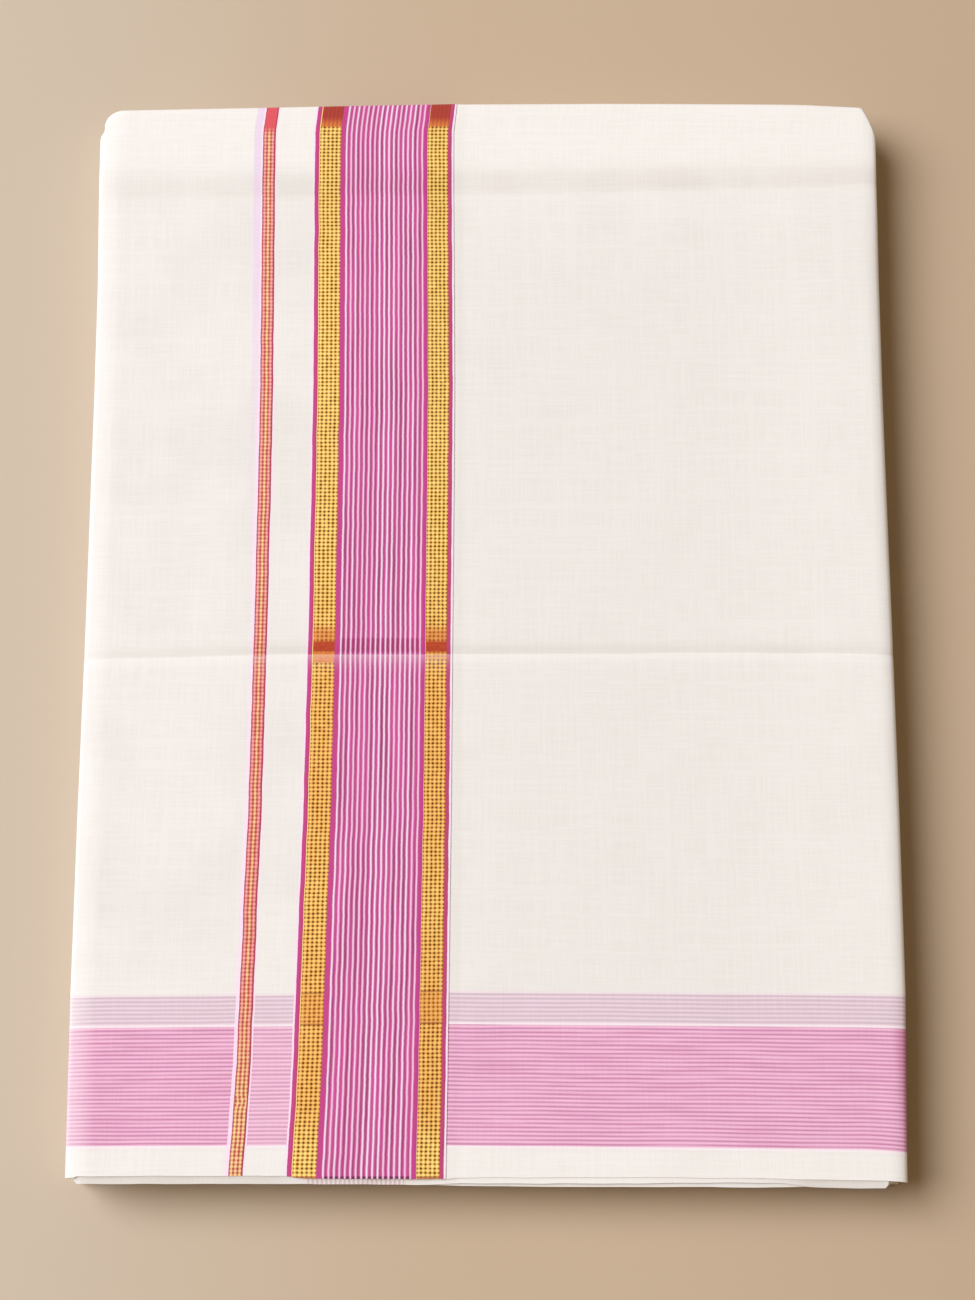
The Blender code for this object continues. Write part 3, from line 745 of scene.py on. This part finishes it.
def matt_cotton(name):
    """A cotton material before its colour and relief: matt, with a faint soft sheen."""
    material = bpy.data.materials.new(name)
    material.use_nodes = True
    shader = material.node_tree.nodes["Principled BSDF"]
    for socket, value in (("Roughness", COTTON_MATT), ("Specular IOR Level", 0.25),
                          ("Sheen Weight", 0.1), ("Sheen Roughness", 0.5)):
        shader.inputs[socket].default_value = value
    return material, material.node_tree, shader


def raise_threads(tree, shader, relief, distance):
    """Relief of the threads, up to a distance in millimetres."""
    bump = tree.nodes.new("ShaderNodeBump")
    bump.inputs["Strength"].default_value = 0.35
    bump.inputs["Distance"].default_value = distance * MM
    tree.links.new(relief, bump.inputs["Height"])
    tree.links.new(bump.outputs[0], shader.inputs["Normal"])


def cotton_material(name, weave, loom):
    """Cotton on the cloth's own map, with the loom's pattern and the weave's relief."""
    material, tree, shader = matt_cotton(name)
    cloth_map = tree.nodes.new("ShaderNodeUVMap")
    cloth_map.uv_map = "cloth"
    parts = tree.nodes.new("ShaderNodeSeparateXYZ")
    tree.links.new(cloth_map.outputs[0], parts.inputs[0])
    u, v = (Wire(tree, parts.outputs[axis]) * (1.0 / MM) for axis in (0, 1))
    groups = []
    for group in (weave, loom):
        node = tree.nodes.new("ShaderNodeGroup")
        node.node_tree = group
        tree.links.new(u.socket, node.inputs["Across"])
        tree.links.new(v.socket, node.inputs["Along"])
        groups.append(node)
    thread, pattern = groups
    colour = Wire(tree, pattern.outputs["Color"])
    tone = Wire(tree, thread.outputs["Tone"])
    colour = shaded(tone.rise(0.69, 0.31), colour, (0.955, 0.95, 0.945))
    marks = []
    for mark in ("crease_shading", "left_paling"):
        reader = tree.nodes.new("ShaderNodeAttribute")
        reader.attribute_name = mark
        marks.append(Wire(tree, reader.outputs["Fac"]))
    crease_shading, left_paling = marks
    # painted light of the creases: painted shade on the far flanks, patchy; on the near lips
    # a painted highlight where the mark is below 0
    patchy = (u * 0.045).speckle(v * 0.02).rise(0.35, 0.6) * 0.4 + 0.6
    colour = shaded(crease_shading.rise(0.0, 1.0) * patchy, colour, (0.945, 0.938, 0.93))
    colour = blend(crease_shading.rise(0.0, -1.0) * 0.4, colour, dyed(251, 245, 240))
    # paler beside the left fold
    colour = blend(left_paling * 0.38, colour, dyed(253, 243, 240))
    tree.links.new(colour.socket, shader.inputs["Base Color"])
    if "Zari" in pattern.outputs:
        zari = Wire(tree, pattern.outputs["Zari"])
        tree.links.new((zari * 0.3).socket, shader.inputs["Metallic"])
        tree.links.new((zari * -0.35 + COTTON_MATT).socket, shader.inputs["Roughness"])
    relief = Wire(tree, thread.outputs["Relief"]) * 0.35
    relief = relief + Wire(tree, pattern.outputs["Relief"])
    raise_threads(tree, shader, relief.socket, 0.05)
    return material


plain_weave = weave_group()
loom_pattern = loom_group()
bordered_cotton = cotton_material("bordered_cotton", plain_weave, loom_pattern)
finish_piece(flap_cloth, bordered_cotton, "border_flap")

# ----------------------------------------
# Front panel
# The next stretch of the wound strip, plain but for the weft bands. It comes out from
# under the selvedge, and its right side rolls down to the fold it is wound round.
# ----------------------------------------
PANEL_UNDER_FLAP = FACE - PLY - PLY_GAP
PANEL_FACE = 16.52             # face of the panel well clear of the flap
SELVEDGE_FALL = 3.6            # width over which the panel falls away from the flap
TUCK = 20.0                    # how far it runs in under the flap
TUCKED = (-TUCK, -12.0, -6.0, -2.0)
TUCK_SHORT = 0.3
PANEL_STRIP = 1.15             # plies of the panel, without the flap
RIGHT_NOSE = 1.3               # reach of the fold along the right side
# Warp lines beside the selvedge, in millimetres of a panel about this wide
BESIDE, PANEL_SPAN = (0.0, 0.3, 0.7, 1.2, 1.8, 2.4, 3.0, 3.6, 4.3), 130.0


def panel_face(x, y):
    """Height of the panel's face, falling away from the selvedge."""
    fall = ease((x - plan_edge("selvedge", y)) / SELVEDGE_FALL)
    return PANEL_UNDER_FLAP + (PANEL_FACE - PANEL_UNDER_FLAP) * fall - face_sink(x, y)


def panel_lines(face=panel_face, inset=0.0, near_inset=0.0):
    """Warp lines of a plain stretch, from its tuck to the return of its right fold."""
    def tucked(offset):
        return lambda y: plan_edge("selvedge", y) + offset

    def spread(share):
        def across(y):
            start = plan_edge("selvedge", y)
            return start + (plan_edge("right", y) - inset - RIGHT_NOSE - start) * share
        return across

    def folded(shift):
        return lambda y: plan_edge("right", y) - inset - shift

    half = PANEL_STRIP / 2
    places = [(tucked(offset), 0.0) for offset in TUCKED]
    shares = np.concatenate([np.array(BESIDE) / PANEL_SPAN, np.linspace(0.05, 0.93, 44),
                             np.linspace(0.94, 1.0, 9)])
    places += [(spread(share), 0.0) for share in shares]
    for turn in NOSE_TURNS:
        places.append((folded(RIGHT_NOSE * (1.0 - math.sin(turn))),
                       half - half * math.cos(turn)))
    places += [(folded(RIGHT_NOSE + back), PANEL_STRIP) for back in BACKS]
    lines = [warp_line(*place, face, "right", inset, near_inset, 6) for place in places]
    # the tucked lines stop inside the flap's far fold
    tuck = [line._replace(far=line.far - TUCK_SHORT) for line in lines[:len(TUCKED)]]
    return tuck + lines[len(TUCKED):]


panel_cloth = woven_sheet("panel_cloth", *map_sheet(panel_lines()), PLY)
banded_cotton = cotton_material("banded_cotton", plain_weave, weft_group())
finish_piece(panel_cloth, banded_cotton, "front_panel")

# ----------------------------------------
# Folded layers
# The ten hidden panels of the strip, pressed one on the other. Every panel shows its
# own side fold at the left and right, and every two panels share a fold at one end.
# ----------------------------------------
Layer = namedtuple("Layer", "left right near far")
LAYERS = (                     # from the top: how far each is drawn in at its four sides
    Layer(0.9, 0.6, 1.10, 0.0),
    Layer(0.3, 0.9, 1.10, 0.5),
    Layer(0.8, 0.4, 1.00, 0.5),
    Layer(0.5, 1.0, 1.00, 1.1),
    Layer(1.1, 0.6, 0.85, 1.1),
    Layer(0.6, 0.3, 0.85, 0.4),
    Layer(0.9, 0.8, 0.30, 0.4),
    Layer(0.4, 0.5, 0.30, 0.9),
    Layer(1.0, 1.1, 0.00, 0.9),
    Layer(0.7, 0.6, 0.00, 0.6),
)
LAYERS_BOTTOM = STRIP + 0.03
LAYERS_TOP = STACK - STRIP - 0.18
LAYER = (LAYERS_TOP - LAYERS_BOTTOM) / len(LAYERS)
SIDE_ROUND = 0.95              # how far a side fold rounds back
END_ROUND = 1.35               # how far an end fold does
NEAR_LEFT = Corner(2.8, 2.4, 2.0)
NEAR_RIGHT = Corner(8.0, 3.6, 2.0)
NOSE_ROOM = 4.4                # the outer layers stop this far short of the far folds
MIDDLE = STACK / 2             # above it, the layers follow the creases of the face
BORDER_FROM = 158.0            # the far folds beyond this Y show the border's stripes
LEVEL_SHARES = (0.0, 0.035, 0.11, 0.26, 0.5, 0.74, 0.89, 0.965)
LEFT_STRAY, RIGHT_STRAY, END_STRAY = 0.22, 0.25, 0.16  # how unevenly the folds lie
UNDER_RIGHT = 0.25             # further in on the right, under the roll of the face
SIDE_COUNTS = (50, 8, 48, 12, 9)       # rows between the ends and the creases


def bull_nose(height, fold, depth):
    """How far a rounded fold has drawn back at a height in it."""
    off_middle = 2.0 * height / fold - 1.0
    return depth * (1.0 - math.sqrt(max(0.0, 1.0 - off_middle * off_middle)))


def layer_sink(level, x, y):
    """How far a level follows the creases and the falls of the face above it."""
    near_top = ease((level - MIDDLE) / (LAYERS_TOP - MIDDLE))
    fall = 0.35 * ease((x - plan_edge("selvedge", y)) / SELVEDGE_FALL)
    return (face_sink(x, y) + fall) * near_top


def side_rows(near, far, x):
    """Rows along a side, closer together where the creases meet it."""
    knots = [near]
    for crease in CREASES:
        line = float(crease_line(crease, x))
        knots += [line - crease.near_flank, line + crease.far_flank]
    return rows_between(knots + [far], SIDE_COUNTS)


def corner_arc(start, end, corner, along_first):
    """Points round a corner between two straight sides, both ends left out."""
    turns = np.radians(np.arange(10.0, 90.0, 10.0))
    if not along_first:
        turns = turns[::-1]
    across = np.cos(turns) ** (2.0 / corner.power)
    along = np.sin(turns) ** (2.0 / corner.power)
    # the side point has the corner's full width, the end point its full length
    side, tip = (start, end) if along_first else (end, start)
    return tip[0] + (side[0] - tip[0]) * across, side[1] + (tip[1] - side[1]) * along


def layer_ring(level, index, share):
    """Plan of one level, counter-clockwise from the near left corner."""
    layer = LAYERS[len(LAYERS) - 1 - index]
    up = share * LAYER
    side = bull_nose(up, LAYER, SIDE_ROUND)
    near_up = up + (index % 2) * LAYER
    far_up = up + ((index + 1) % 2) * LAYER
    near_round = bull_nose(near_up, 2.0 * LAYER, END_ROUND) + layer.near
    far_round = bull_nose(far_up, 2.0 * LAYER, END_ROUND) + layer.far
    if index in (0, len(LAYERS) - 1):
        far_round = max(far_round, NOSE_ROOM)
    left_in, right_in = side + layer.left, side + layer.right + UNDER_RIGHT

    def left_x(y):
        stray = LEFT_STRAY * soft_waves(0.0 * y, y, 40 + index, 18.0, 90.0)
        return plan_edge("left", y) + left_in + stray

    def right_x(y):
        stray = RIGHT_STRAY * soft_waves(0.0 * y, y, 60 + index, 18.0, 90.0)
        return plan_edge("right", y) - right_in + stray

    def end_y(name, x, drawn_in, seed):
        stray = END_STRAY * soft_waves(x, 0.0 * x, seed, 14.0, 90.0)
        return end_edge(name, x) + drawn_in + stray

    left_near, right_near = float(left_x(CUT_END)), float(right_x(CUT_END))
    left_far = float(left_x(SIDE_END)) + FAR_JOG_INSET
    right_far = float(right_x(FAR_END))
    near_xs = np.linspace(left_near + NEAR_LEFT.across, right_near - NEAR_RIGHT.across, 120)
    far_xs = np.linspace(right_far - FAR_RIGHT.across, left_far + FAR_LEFT.across, 120)
    near_ys = end_y("near_fold", near_xs, near_round, 80 + index // 2)
    far_ys = end_y("far_fold", far_xs, -far_round, 90 + (index + 1) // 2)
    right_ys = side_rows(near_ys[-1] + NEAR_RIGHT.along, far_ys[0] - FAR_RIGHT.along, 121.0)
    left_ys = side_rows(near_ys[0] + NEAR_LEFT.along, far_ys[-1] - FAR_LEFT.along,
                        -121.0)[::-1]
    sides = [np.array(side) for side in (
        (near_xs, near_ys), (right_x(right_ys), right_ys), (far_xs, far_ys),
        (left_x(left_ys), left_ys))]
    ring = []
    for turn, corner in enumerate((NEAR_RIGHT, FAR_RIGHT, FAR_LEFT, NEAR_LEFT)):
        start, end = sides[turn][:, -1], sides[(turn + 1) % 4][:, 0]
        ring += [sides[turn], corner_arc(start, end, corner, turn % 2 == 1)]
    xs, ys = np.concatenate(ring, axis=1)
    return np.stack([xs, ys, level - layer_sink(level, xs, ys)], axis=-1)


def folded_layers():
    """All the hidden layers in one closed form, mapped round its sides."""
    rings = []
    for index in range(len(LAYERS)):
        for share in LEVEL_SHARES:
            level = LAYERS_BOTTOM + (index + share) * LAYER
            rings.append(layer_ring(level, index, share))
    rings.append(layer_ring(LAYERS_TOP, len(LAYERS) - 1, 1.0))
    rings = np.array(rings)
    levels, count = rings.shape[:2]
    spot = np.arange(levels * count).reshape(levels, count)
    after = np.roll(spot, -1, axis=1)
    quads = np.stack([spot[:-1], after[:-1], after[1:], spot[1:]], axis=-1).reshape(-1, 4)
    faces = quads.tolist() + [spot[0][::-1].tolist(), spot[-1].tolist()]
    mesh = bpy.data.meshes.new("layers_cloth")
    mesh.from_pydata((rings.reshape(-1, 3) * MM).tolist(), [], faces)
    x, y, z = rings.reshape(-1, 3).T
    cloth_map = np.stack([warp_place(x, y), FAR_END - CUT_END + z], axis=-1)
    piece = new_piece("layers_cloth", mesh, cloth_map)
    bordered = (y[quads].min(axis=1) > BORDER_FROM).astype(np.int32)
    mesh.polygons.foreach_set("material_index", np.concatenate([bordered, [0, 0]]))
    bpy.ops.object.shade_smooth_by_angle(angle=SHARP_EDGE)
    return piece


def plain_material(name, weave):
    """The same cotton without the pattern, read from the place on the packet."""
    material, tree, shader = matt_cotton(name)
    place = tree.nodes.new("ShaderNodeTexCoord")
    parts = tree.nodes.new("ShaderNodeSeparateXYZ")
    tree.links.new(place.outputs["Object"], parts.inputs[0])
    x, y, z = (Wire(tree, parts.outputs[axis]) * (1.0 / MM) for axis in (0, 1, 2))
    thread = tree.nodes.new("ShaderNodeGroup")
    thread.node_tree = weave
    tree.links.new((x + y).socket, thread.inputs["Across"])
    tree.links.new(z.socket, thread.inputs["Along"])
    tone = Wire(tree, thread.outputs["Tone"])
    colour = blend(tone.rise(0.31, 0.67), COTTON_SHADE, COTTON)
    cloud = (x * 0.05).speckle(y * 0.05).rise(0.3, 0.7)
    colour = blend(cloud * 0.3, colour, dyed(237, 230, 221))
    tree.links.new(colour.socket, shader.inputs["Base Color"])
    raise_threads(tree, shader, thread.outputs["Relief"], 0.03)
    return material


cotton = plain_material("cotton", plain_weave)
layers_cloth = folded_layers()
finish_piece(layers_cloth, cotton, "folded_layers")
layers_cloth.data.materials.append(bordered_cotton)

# ----------------------------------------
# Inner plies
# The plies wound inside the top and the lowest panels. Only their cut edges show, under
# the cut end of the cloth, each a little out of line with the next.
# ----------------------------------------
PLY_REACH = 24.0               # how far in they are made
PLY_THIN = 0.205
PLY_STEP = PLY + 0.01
PLY_LEFT, PLY_RIGHT = 2.5, 5.6  # how far in their side folds lie
PLY_TURN, PLY_TURN_DROP = 2.5, 0.45    # they turn down beside the left fold
PLY_STRAY = 0.06               # how unevenly they are cut
PLY_ASIDE = 250.0              # their own place on the map, clear of the border
PLY_ROWS = (0.0, 0.3, 0.7, 1.1, 1.5, 1.9, 2.3, 2.8, 3.4, 5.0, 9.0, 15.0, PLY_REACH)
PLY_CORNER = Corner(0.95, 0.9, 2.0)
# Where the cut of each one lies, from the cut end, by place across; they come out past
# the outer ply and droop there: how steeply, for the first and for the ones inside it
PLY_ACROSS = (-121.0, -60.0, -20.0, -8.0, 30.0, 70.0, 84.0, 92.0, 112.0)
PLY_ENDS = (
    (-2.1, -2.15, -2.35, -2.0, -2.1, -1.75, -1.9, -3.05, -3.3),
    (-1.5, -1.6, -2.4, -2.7, -2.9, -3.0, -3.0, -2.8, -2.9),
    (-1.2, -1.3, -1.6, -1.9, -2.1, -2.2, -2.2, -2.2, -2.3),
    (-0.8, -0.9, -1.3, -1.6, -1.8, -1.9, -1.9, -1.9, -1.9),
)
FIRST_DROOP = (0.40, 0.40, 0.28, 0.05, 0.04, 0.06, 0.22, 0.52, 0.45)
INNER_DROOP = (0.42, 0.42, 0.36, 0.28, 0.28, 0.30, 0.36, 0.55, 0.48)
# Painted shade on the plies by place across, strongest where they lie in the shade of the
# outer ply
PLY_PAINTED_SHADE = (0.9, 0.9, 0.6, 0.1, 0.0, 0.2, 0.7, 1.0, 0.5)
PLY_STOOP = 0.15               # and how far they all step down at once
# Heights of the outer face over the flap, over the tucked panel and over the bare panel
TOP_LEVELS = (FACE, PANEL_UNDER_FLAP, PANEL_FACE)
LOWEST_LEVELS = (STACK, STACK - PLY - PLY_GAP, STACK)


def cut_ply(name, number, levels, near_inset=0.0, flip=False):
    """One inner ply near the cut end, from its left fold to its right one."""
    flap, tucked, panel = levels
    left = float(plan_edge("left", CUT_END)) + PLY_LEFT + 0.15 * number
    right = float(plan_edge("right", CUT_END)) - PLY_RIGHT - 0.2 * number

    def height(x, y):
        aside = x - plan_edge("selvedge", y)
        top = flap + (tucked - flap) * ease((aside + TUCK + 3.0) / 3.0)
        top = top + (panel - tucked) * ease(aside / SELVEDGE_FALL)
        top = top - PLY_STEP * (number + 1)
        if flip:
            return top
        steep = np.interp(x, PLY_ACROSS, INNER_DROOP if number else FIRST_DROOP)
        beyond = np.maximum(end_edge("cut", x) + 0.15 - y, 0.0)
        droop = steep * beyond + PLY_STOOP * ease(beyond)
        turned = PLY_TURN_DROP * np.clip(1.0 - (x - left) / PLY_TURN, 0.0, 1.0) ** 2
        return top - face_sink(x, y) - droop - turned

    shares = np.concatenate([np.linspace(0.0, 0.04, 13)[:-1], np.linspace(0.04, 0.96, 100),
                             np.linspace(0.96, 1.0, 13)[1:]])
    points, cloth_map = [], []
    for share in shares:
        x_near = left + (right - left) * share
        near = CUT_END + near_inset + float(np.interp(x_near, PLY_ACROSS, PLY_ENDS[number]))
        near += PLY_STRAY * float(soft_waves(x_near, 0.0, 20 + number, 5.0, 60.0))
        near += float(corner_drop(min(x_near - left, right - x_near), PLY_CORNER))
        y = near + np.array(PLY_ROWS)
        x = np.full(len(y), x_near)
        points.append(np.stack([x, y, height(x, y)], axis=-1))
        cloth_map.append(np.stack([x - PLY_ASIDE, y - near], axis=-1))
    points, cloth_map = np.array(points), np.array(cloth_map)
    # painted shade on the plies, carried in the crease shading mark
    painted_shade = np.interp(points[:, :, 0], PLY_ACROSS, PLY_PAINTED_SHADE)
    piece = woven_sheet(name, points, cloth_map, (painted_shade, 0.0 * painted_shade), PLY_THIN, flip)
    finish_piece(piece, banded_cotton)


for number in range(4):
    cut_ply(f"inner_ply_{number + 1}", number, TOP_LEVELS)
    cut_ply(f"lowest_ply_{number + 1}", number, LOWEST_LEVELS, 2.0, True)

# ----------------------------------------
# Lowest panel
# The panel that the packet rests on, pressed flat by the rest: its own bordered flap
# and, beside the selvedge, its plain stretch, both turned up at the far fold.
# ----------------------------------------
UNDER_INSET = 0.9              # how far it is drawn in at its sides
UNDER_NEAR_INSET = 0.7
UNDER_DIP = 0.45               # the creases press through this much weaker


def under_face(x, y):
    """The lowest face, as it lies when the packet is turned over."""
    return STACK - UNDER_DIP * crease_dip(x, y)


def under_panel_face(x, y):
    rest = (PLY + PLY_GAP) * (1.0 - ease((x - plan_edge("selvedge", y)) / 2.6))
    return under_face(x, y) - rest


under_flap = woven_sheet(
    "under_flap_cloth",
    *map_sheet(flap_lines(under_face, UNDER_INSET, UNDER_NEAR_INSET), PALER_WIDTH), PLY,
    flip=True)
under_panel = woven_sheet(
    "under_panel_cloth",
    *map_sheet(panel_lines(under_panel_face, UNDER_INSET, UNDER_NEAR_INSET)), PLY,
    flip=True)
finish_piece(under_flap, bordered_cotton, "under_flap")
finish_piece(under_panel, banded_cotton, "under_panel")

# ----------------------------------------
# Table, light and camera
# A pale surface, painted lighter on the left and darker to the right as the light falls off;
# one large soft light from the upper left and a low even fill.
# ----------------------------------------
bpy.ops.object.select_all(action="DESELECT")
bpy.ops.mesh.primitive_plane_add(size=4.0, location=(0.0, 0.0, -0.0001))
table_top = bpy.context.active_object
table_top.name = "table_top"
table_paint = bpy.data.materials.new("table_paint")
table_paint.use_nodes = True
tree = table_paint.node_tree
paint = tree.nodes["Principled BSDF"]
paint.inputs["Roughness"].default_value = 0.8
paint.inputs["Specular IOR Level"].default_value = 0.2
table_place = tree.nodes.new("ShaderNodeTexCoord")
table_parts = tree.nodes.new("ShaderNodeSeparateXYZ")
tree.links.new(table_place.outputs["Object"], table_parts.inputs[0])
table_x = Wire(tree, table_parts.outputs[0]) * (1.0 / MM)
# painted light: the table is lighter on the left, towards the light, and darker to the right
table_tone_and_painted_light = blend(table_x.rise(-160.0, 0.0), (0.575, 0.467, 0.358, 1.0),
                   (0.538, 0.402, 0.278, 1.0))
table_tone_and_painted_light = blend(table_x.rise(0.0, 160.0), table_tone_and_painted_light, (0.509, 0.372, 0.254, 1.0))
tree.links.new(table_tone_and_painted_light.socket, paint.inputs["Base Color"])
table_top.data.materials.append(table_paint)

KEY_ELEVATION, KEY_TURN, KEY_DISTANCE, KEY_SIZE = 48.5, 16.0, 8.0, 7.1
KEY_POWER = 830.0
rise, turn = math.radians(KEY_ELEVATION), math.radians(KEY_TURN)
key_data = bpy.data.lights.new("window_light", "AREA")
key_data.shape = "DISK"
key_data.size = KEY_SIZE
key_data.energy = KEY_POWER
key_data.color = (1.0, 1.06, 1.16)
key = bpy.data.objects.new("window_light", key_data)
key.location = (-KEY_DISTANCE * math.cos(rise) * math.cos(turn),
                KEY_DISTANCE * math.cos(rise) * math.sin(turn),
                KEY_DISTANCE * math.sin(rise))
key.rotation_euler = (math.pi / 2 - rise, 0.0,
                      math.pi + math.atan2(-key.location[0], key.location[1]))
bpy.context.collection.objects.link(key)

world = bpy.data.worlds.new("room")
world.use_nodes = True
world.node_tree.nodes["Background"].inputs["Color"].default_value = (1.0, 0.82, 0.52, 1.0)
world.node_tree.nodes["Background"].inputs["Strength"].default_value = 0.275
bpy.context.scene.world = world

CAMERA_TILT, CAMERA_PLACE = 14.598, (-0.0005, -0.2486, 0.9367)
camera_data = bpy.data.cameras.new("camera")
camera_data.lens = 88.6
camera_data.sensor_width = 36.0
camera = bpy.data.objects.new("camera", camera_data)
camera.location = CAMERA_PLACE
camera.rotation_euler = (math.radians(CAMERA_TILT), 0.0, 0.0)
bpy.context.collection.objects.link(camera)
bpy.context.scene.camera = camera
bpy.context.scene.view_settings.view_transform = "Standard"
